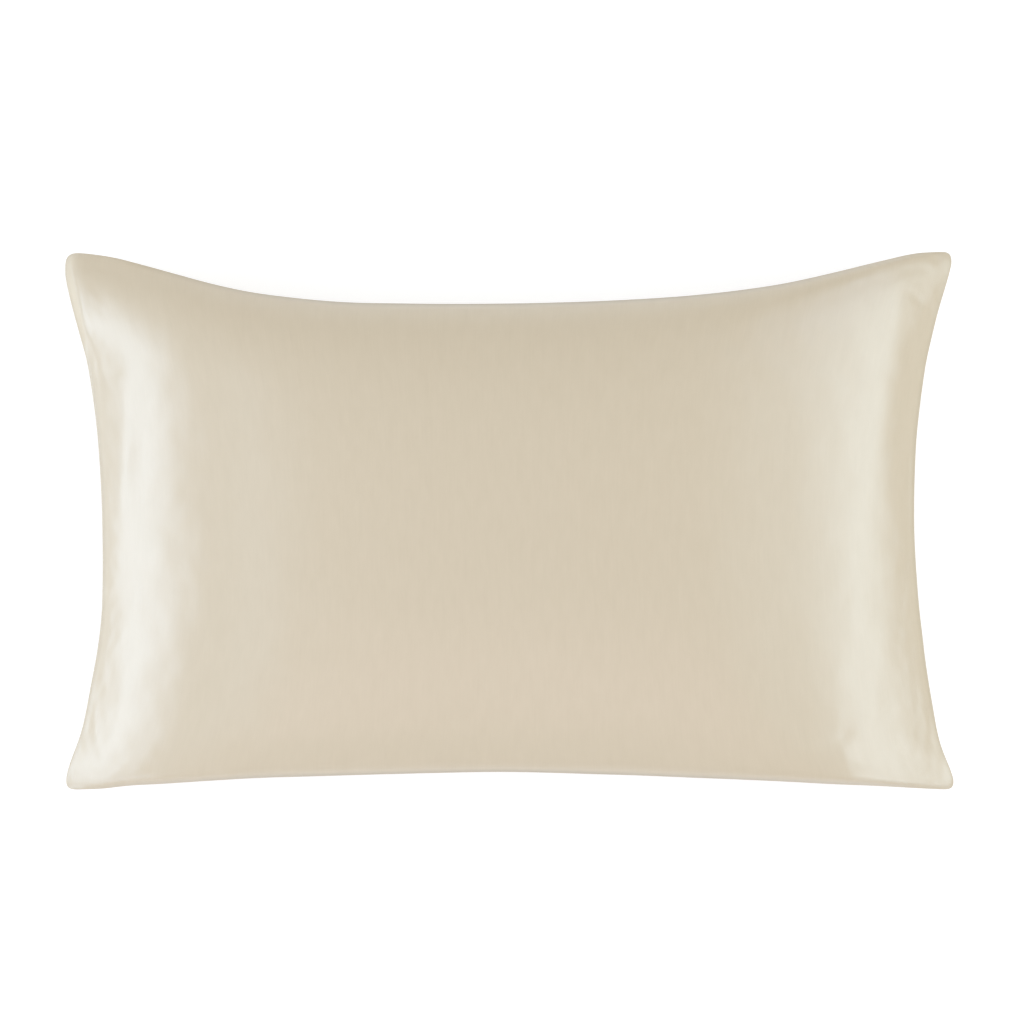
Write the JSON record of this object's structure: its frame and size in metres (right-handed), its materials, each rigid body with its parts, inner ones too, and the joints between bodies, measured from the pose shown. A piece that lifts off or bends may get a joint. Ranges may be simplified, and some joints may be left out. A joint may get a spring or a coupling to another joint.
{
  "type": "filled pillowcase",
  "caption": "Silk satin pillowcase drawn over a plump pillow, with a crowned face, drawn-in sides, soft pointed corners and a lapped opening across the back.",
  "frame": {"origin": "middle of the outline, on the surface that the underside rests on", "axes": "+X along the length, to the picture's right; +Y across the width, up in the picture; +Z out of the face"},
  "size_m": [0.79, 0.478, 0.1513],
  "materials": {
    "silk_satin": "champagne silk satin with a soft lustre"
  },
  "bodies": {
    "root": {"filled_case": "silk_satin"}
  },
  "joints": []
}
